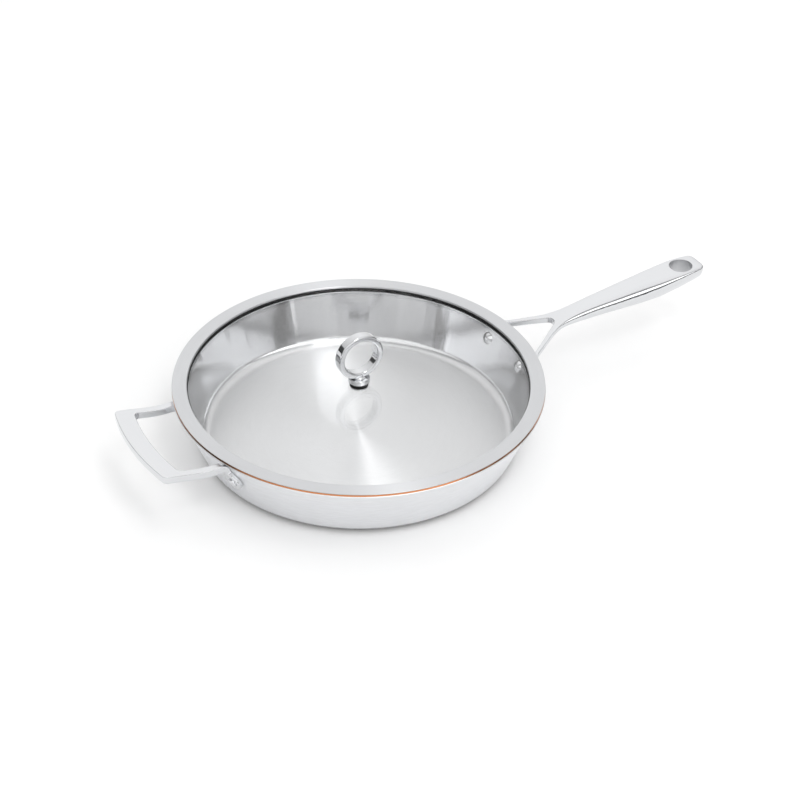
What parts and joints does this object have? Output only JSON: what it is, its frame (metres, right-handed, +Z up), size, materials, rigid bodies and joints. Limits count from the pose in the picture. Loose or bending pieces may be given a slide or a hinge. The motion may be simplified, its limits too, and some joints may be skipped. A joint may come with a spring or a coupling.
{
  "type": "frying pan with lid",
  "caption": "Wide copper-core frying pan with a forked long handle, a looped helper handle, and a glass lid in a steel band with a ring knob.",
  "frame": {"origin": "centre of the pan's flat base, on the pan's axis", "axes": "+Z up out of the pan, +X towards the tip of the long handle"},
  "size_m": [0.5312, 0.3, 0.0969],
  "materials": {
    "outer_steel": "brushed round the wall",
    "copper": "copper core, turned edge",
    "inner_steel": "turned satin floor, polished wall",
    "handle_steel": "cast, satin top, polished sides",
    "rivet_steel": "polished",
    "band_steel": "satin, rolled edge polished",
    "knob_steel": "mirror polished",
    "seal": "black silicone",
    "lid_glass": "clear toughened glass"
  },
  "bodies": {
    "pan": {"outer_skin": "outer_steel", "copper_core": "copper", "inner_skin": "inner_steel", "long_handle": "handle_steel", "long_handle_rivets": "rivet_steel", "helper_handle": "handle_steel", "helper_handle_rivets": "rivet_steel"},
    "lid": {"lid_band": "band_steel", "lid_seal": "seal", "lid_glass": "lid_glass", "knob": "knob_steel", "knob_gasket": "seal", "under_gasket": "seal", "knob_washer": "rivet_steel", "knob_screw": "rivet_steel"}
  },
  "joints": [
    {"name": "lid_lift", "type": "slide", "parent": "pan", "child": "lid", "axis": [0, 0, 1], "range_m": [0, 0.12]}
  ]
}
